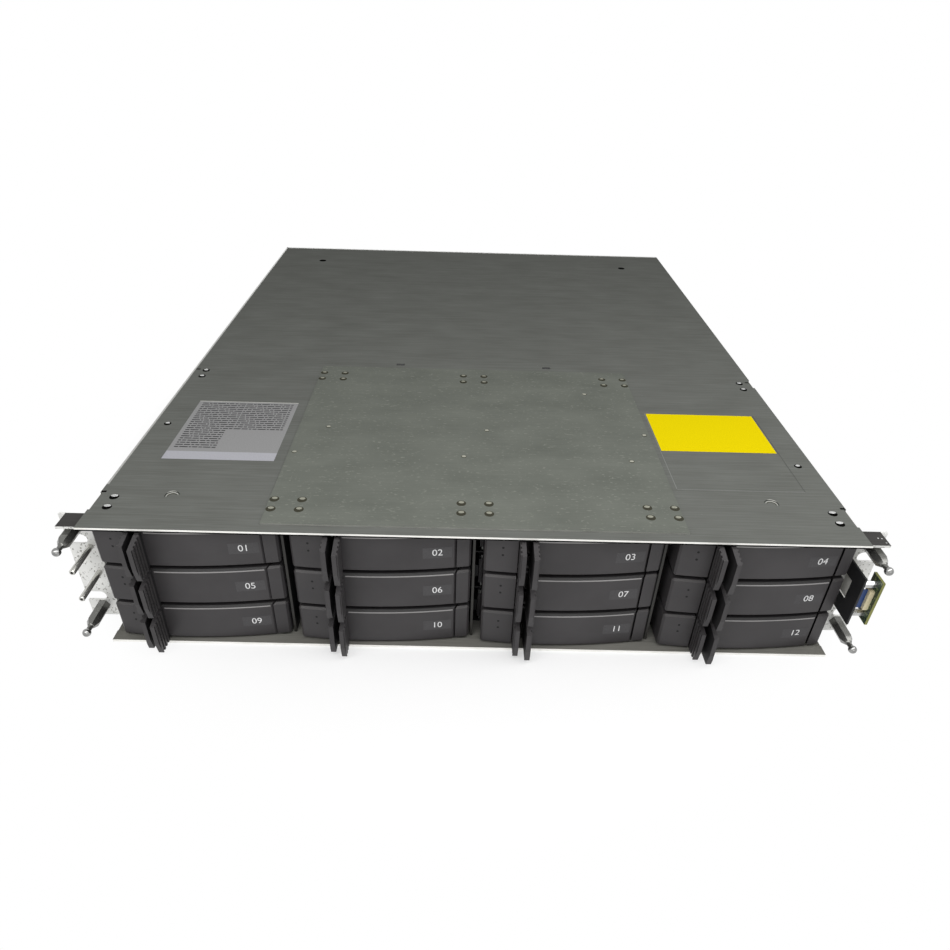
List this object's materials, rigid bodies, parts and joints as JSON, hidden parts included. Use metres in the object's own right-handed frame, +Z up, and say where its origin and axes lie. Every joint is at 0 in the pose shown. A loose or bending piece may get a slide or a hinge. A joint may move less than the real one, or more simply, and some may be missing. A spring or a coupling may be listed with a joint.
{
  "type": "storage array",
  "caption": "Two-unit rack storage array: sheet-steel chassis with hot-swap disk carriers on pinch levers in front, and power supplies and controller canisters behind.",
  "frame": {"origin": "centre of the base tray's underside", "axes": "+X to the right seen from the front, +Y to the rear, +Z up"},
  "size_m": [0.4826, 0.595, 0.0888],
  "materials": {
    "sheet_steel": "galvanised",
    "plate_steel": "galvanised",
    "bright_steel": "plated",
    "black_steel": "black oxide",
    "circuit_board": "solder mask",
    "ribbon": "flat flexible cable",
    "carrier": "dark moulded bezel on a disk in a steel tray",
    "bezel_plastic": "fine texture",
    "module_steel": "galvanised",
    "black_plastic": "moulded"
  },
  "bodies": {
    "chassis": {"base_tray": "sheet_steel", "top_cover": "sheet_steel", "top_plate": "plate_steel", "left_ear": "bright_steel", "right_ear": "bright_steel", "ear_studs": "bright_steel", "panel_bracket": "black_steel", "panel_board": "circuit_board", "ribbon_cable": "ribbon", "drive_cage": "sheet_steel", "midplane": "circuit_board", "module_frame": "sheet_steel"},
    "drive_01": {"drive_01_carrier": "carrier"},
    "drive_01_lever": {"drive_01_lever": "bezel_plastic"},
    "drive_01_release": {"drive_01_release": "bezel_plastic"},
    "drive_02": {"drive_02_carrier": "carrier"},
    "drive_02_lever": {"drive_02_lever": "bezel_plastic"},
    "drive_02_release": {"drive_02_release": "bezel_plastic"},
    "drive_03": {"drive_03_carrier": "carrier"},
    "drive_03_lever": {"drive_03_lever": "bezel_plastic"},
    "drive_03_release": {"drive_03_release": "bezel_plastic"},
    "drive_04": {"drive_04_carrier": "carrier"},
    "drive_04_lever": {"drive_04_lever": "bezel_plastic"},
    "drive_04_release": {"drive_04_release": "bezel_plastic"},
    "drive_05": {"drive_05_carrier": "carrier"},
    "drive_05_lever": {"drive_05_lever": "bezel_plastic"},
    "drive_05_release": {"drive_05_release": "bezel_plastic"},
    "drive_06": {"drive_06_carrier": "carrier"},
    "drive_06_lever": {"drive_06_lever": "bezel_plastic"},
    "drive_06_release": {"drive_06_release": "bezel_plastic"},
    "drive_07": {"drive_07_carrier": "carrier"},
    "drive_07_lever": {"drive_07_lever": "bezel_plastic"},
    "drive_07_release": {"drive_07_release": "bezel_plastic"},
    "drive_08": {"drive_08_carrier": "carrier"},
    "drive_08_lever": {"drive_08_lever": "bezel_plastic"},
    "drive_08_release": {"drive_08_release": "bezel_plastic"},
    "drive_09": {"drive_09_carrier": "carrier"},
    "drive_09_lever": {"drive_09_lever": "bezel_plastic"},
    "drive_09_release": {"drive_09_release": "bezel_plastic"},
    "drive_10": {"drive_10_carrier": "carrier"},
    "drive_10_lever": {"drive_10_lever": "bezel_plastic"},
    "drive_10_release": {"drive_10_release": "bezel_plastic"},
    "drive_11": {"drive_11_carrier": "carrier"},
    "drive_11_lever": {"drive_11_lever": "bezel_plastic"},
    "drive_11_release": {"drive_11_release": "bezel_plastic"},
    "drive_12": {"drive_12_carrier": "carrier"},
    "drive_12_lever": {"drive_12_lever": "bezel_plastic"},
    "drive_12_release": {"drive_12_release": "bezel_plastic"},
    "psu_left": {"psu_left": "module_steel"},
    "psu_left_handle": {"psu_left_handle": "black_steel"},
    "psu_left_fan": {"psu_left_fan": "black_plastic"},
    "psu_right": {"psu_right": "module_steel"},
    "psu_right_handle": {"psu_right_handle": "black_steel"},
    "psu_right_fan": {"psu_right_fan": "black_plastic"},
    "io_lower": {"io_lower": "module_steel"},
    "io_lower_lever_left": {"io_lower_lever_left": "black_plastic"},
    "io_lower_lever_right": {"io_lower_lever_right": "black_plastic"},
    "io_upper": {"io_upper": "module_steel"},
    "io_upper_lever_left": {"io_upper_lever_left": "black_plastic"},
    "io_upper_lever_right": {"io_upper_lever_right": "black_plastic"}
  },
  "joints": [
    {"name": "drive_01_slide", "type": "slide", "parent": "chassis", "child": "drive_01", "axis": [0, -1, 0], "range_m": [0, 0.24]},
    {"name": "drive_01_lever_turn", "type": "hinge", "parent": "drive_01", "child": "drive_01_lever", "pos_m": [-0.1294, -0.2744, 0.0724], "axis": [0, 0, 1], "range_deg": [0, 70]},
    {"name": "drive_01_release_turn", "type": "hinge", "parent": "drive_01", "child": "drive_01_release", "pos_m": [-0.19575, -0.26405, 0.0724], "axis": [0, 0, 1], "range_deg": [0, 5], "stiffness_Nm_per_rad": 1.5},
    {"name": "drive_02_slide", "type": "slide", "parent": "chassis", "child": "drive_02", "axis": [0, -1, 0], "range_m": [0, 0.24]},
    {"name": "drive_02_lever_turn", "type": "hinge", "parent": "drive_02", "child": "drive_02_lever", "pos_m": [-0.0178, -0.2744, 0.0724], "axis": [0, 0, 1], "range_deg": [0, 70]},
    {"name": "drive_02_release_turn", "type": "hinge", "parent": "drive_02", "child": "drive_02_release", "pos_m": [-0.08415, -0.26405, 0.0724], "axis": [0, 0, 1], "range_deg": [0, 5], "stiffness_Nm_per_rad": 1.5},
    {"name": "drive_03_slide", "type": "slide", "parent": "chassis", "child": "drive_03", "axis": [0, -1, 0], "range_m": [0, 0.24]},
    {"name": "drive_03_lever_turn", "type": "hinge", "parent": "drive_03", "child": "drive_03_lever", "pos_m": [0.0938, -0.2744, 0.0724], "axis": [0, 0, 1], "range_deg": [0, 70]},
    {"name": "drive_03_release_turn", "type": "hinge", "parent": "drive_03", "child": "drive_03_release", "pos_m": [0.02745, -0.26405, 0.0724], "axis": [0, 0, 1], "range_deg": [0, 5], "stiffness_Nm_per_rad": 1.5},
    {"name": "drive_04_slide", "type": "slide", "parent": "chassis", "child": "drive_04", "axis": [0, -1, 0], "range_m": [0, 0.24]},
    {"name": "drive_04_lever_turn", "type": "hinge", "parent": "drive_04", "child": "drive_04_lever", "pos_m": [0.2054, -0.2744, 0.0724], "axis": [0, 0, 1], "range_deg": [0, 70]},
    {"name": "drive_04_release_turn", "type": "hinge", "parent": "drive_04", "child": "drive_04_release", "pos_m": [0.13905, -0.26405, 0.0724], "axis": [0, 0, 1], "range_deg": [0, 5], "stiffness_Nm_per_rad": 1.5},
    {"name": "drive_05_slide", "type": "slide", "parent": "chassis", "child": "drive_05", "axis": [0, -1, 0], "range_m": [0, 0.24]},
    {"name": "drive_05_lever_turn", "type": "hinge", "parent": "drive_05", "child": "drive_05_lever", "pos_m": [-0.1294, -0.2744, 0.044], "axis": [0, 0, 1], "range_deg": [0, 70]},
    {"name": "drive_05_release_turn", "type": "hinge", "parent": "drive_05", "child": "drive_05_release", "pos_m": [-0.19575, -0.26405, 0.044], "axis": [0, 0, 1], "range_deg": [0, 5], "stiffness_Nm_per_rad": 1.5},
    {"name": "drive_06_slide", "type": "slide", "parent": "chassis", "child": "drive_06", "axis": [0, -1, 0], "range_m": [0, 0.24]},
    {"name": "drive_06_lever_turn", "type": "hinge", "parent": "drive_06", "child": "drive_06_lever", "pos_m": [-0.0178, -0.2744, 0.044], "axis": [0, 0, 1], "range_deg": [0, 70]},
    {"name": "drive_06_release_turn", "type": "hinge", "parent": "drive_06", "child": "drive_06_release", "pos_m": [-0.08415, -0.26405, 0.044], "axis": [0, 0, 1], "range_deg": [0, 5], "stiffness_Nm_per_rad": 1.5},
    {"name": "drive_07_slide", "type": "slide", "parent": "chassis", "child": "drive_07", "axis": [0, -1, 0], "range_m": [0, 0.24]},
    {"name": "drive_07_lever_turn", "type": "hinge", "parent": "drive_07", "child": "drive_07_lever", "pos_m": [0.0938, -0.2744, 0.044], "axis": [0, 0, 1], "range_deg": [0, 70]},
    {"name": "drive_07_release_turn", "type": "hinge", "parent": "drive_07", "child": "drive_07_release", "pos_m": [0.02745, -0.26405, 0.044], "axis": [0, 0, 1], "range_deg": [0, 5], "stiffness_Nm_per_rad": 1.5},
    {"name": "drive_08_slide", "type": "slide", "parent": "chassis", "child": "drive_08", "axis": [0, -1, 0], "range_m": [0, 0.24]},
    {"name": "drive_08_lever_turn", "type": "hinge", "parent": "drive_08", "child": "drive_08_lever", "pos_m": [0.2054, -0.2744, 0.044], "axis": [0, 0, 1], "range_deg": [0, 70]},
    {"name": "drive_08_release_turn", "type": "hinge", "parent": "drive_08", "child": "drive_08_release", "pos_m": [0.13905, -0.26405, 0.044], "axis": [0, 0, 1], "range_deg": [0, 5], "stiffness_Nm_per_rad": 1.5},
    {"name": "drive_09_slide", "type": "slide", "parent": "chassis", "child": "drive_09", "axis": [0, -1, 0], "range_m": [0, 0.24]},
    {"name": "drive_09_lever_turn", "type": "hinge", "parent": "drive_09", "child": "drive_09_lever", "pos_m": [-0.1294, -0.2744, 0.0156], "axis": [0, 0, 1], "range_deg": [0, 70]},
    {"name": "drive_09_release_turn", "type": "hinge", "parent": "drive_09", "child": "drive_09_release", "pos_m": [-0.19575, -0.26405, 0.0156], "axis": [0, 0, 1], "range_deg": [0, 5], "stiffness_Nm_per_rad": 1.5},
    {"name": "drive_10_slide", "type": "slide", "parent": "chassis", "child": "drive_10", "axis": [0, -1, 0], "range_m": [0, 0.24]},
    {"name": "drive_10_lever_turn", "type": "hinge", "parent": "drive_10", "child": "drive_10_lever", "pos_m": [-0.0178, -0.2744, 0.0156], "axis": [0, 0, 1], "range_deg": [0, 70]},
    {"name": "drive_10_release_turn", "type": "hinge", "parent": "drive_10", "child": "drive_10_release", "pos_m": [-0.08415, -0.26405, 0.0156], "axis": [0, 0, 1], "range_deg": [0, 5], "stiffness_Nm_per_rad": 1.5},
    {"name": "drive_11_slide", "type": "slide", "parent": "chassis", "child": "drive_11", "axis": [0, -1, 0], "range_m": [0, 0.24]},
    {"name": "drive_11_lever_turn", "type": "hinge", "parent": "drive_11", "child": "drive_11_lever", "pos_m": [0.0938, -0.2744, 0.0156], "axis": [0, 0, 1], "range_deg": [0, 70]},
    {"name": "drive_11_release_turn", "type": "hinge", "parent": "drive_11", "child": "drive_11_release", "pos_m": [0.02745, -0.26405, 0.0156], "axis": [0, 0, 1], "range_deg": [0, 5], "stiffness_Nm_per_rad": 1.5},
    {"name": "drive_12_slide", "type": "slide", "parent": "chassis", "child": "drive_12", "axis": [0, -1, 0], "range_m": [0, 0.24]},
    {"name": "drive_12_lever_turn", "type": "hinge", "parent": "drive_12", "child": "drive_12_lever", "pos_m": [0.2054, -0.2744, 0.0156], "axis": [0, 0, 1], "range_deg": [0, 70]},
    {"name": "drive_12_release_turn", "type": "hinge", "parent": "drive_12", "child": "drive_12_release", "pos_m": [0.13905, -0.26405, 0.0156], "axis": [0, 0, 1], "range_deg": [0, 5], "stiffness_Nm_per_rad": 1.5},
    {"name": "psu_left_slide", "type": "slide", "parent": "chassis", "child": "psu_left", "axis": [0, 1, 0], "range_m": [0, 0.34]},
    {"name": "psu_left_handle_turn", "type": "hinge", "parent": "psu_left", "child": "psu_left_handle", "pos_m": [-0.1394, 0.2893, 0.0377], "axis": [-1, 0, 0], "range_deg": [0, 90]},
    {"name": "psu_left_fan_spin", "type": "hinge", "parent": "psu_left", "child": "psu_left_fan", "pos_m": [-0.1888, 0.2723, 0.0434], "axis": [0, 1, 0], "continuous": true},
    {"name": "psu_right_slide", "type": "slide", "parent": "chassis", "child": "psu_right", "axis": [0, 1, 0], "range_m": [0, 0.34]},
    {"name": "psu_right_handle_turn", "type": "hinge", "parent": "psu_right", "child": "psu_right_handle", "pos_m": [0.2023, 0.2893, 0.0377], "axis": [-1, 0, 0], "range_deg": [0, 90]},
    {"name": "psu_right_fan_spin", "type": "hinge", "parent": "psu_right", "child": "psu_right_fan", "pos_m": [0.1529, 0.2723, 0.0434], "axis": [0, 1, 0], "continuous": true},
    {"name": "io_lower_slide", "type": "slide", "parent": "chassis", "child": "io_lower", "axis": [0, 1, 0], "range_m": [0, 0.34]},
    {"name": "io_lower_lever_left_turn", "type": "hinge", "parent": "io_lower", "child": "io_lower_lever_left", "pos_m": [-0.1097, 0.291, 0.0223], "axis": [0, 0, 1], "range_deg": [0, 70]},
    {"name": "io_lower_lever_right_turn", "type": "hinge", "parent": "io_lower", "child": "io_lower_lever_right", "pos_m": [0.1097, 0.291, 0.0223], "axis": [0, 0, -1], "range_deg": [0, 70]},
    {"name": "io_upper_slide", "type": "slide", "parent": "chassis", "child": "io_upper", "axis": [0, 1, 0], "range_m": [0, 0.34]},
    {"name": "io_upper_lever_left_turn", "type": "hinge", "parent": "io_upper", "child": "io_upper_lever_left", "pos_m": [-0.1097, 0.291, 0.0657], "axis": [0, 0, 1], "range_deg": [0, 70]},
    {"name": "io_upper_lever_right_turn", "type": "hinge", "parent": "io_upper", "child": "io_upper_lever_right", "pos_m": [0.1097, 0.291, 0.0657], "axis": [0, 0, -1], "range_deg": [0, 70]}
  ]
}
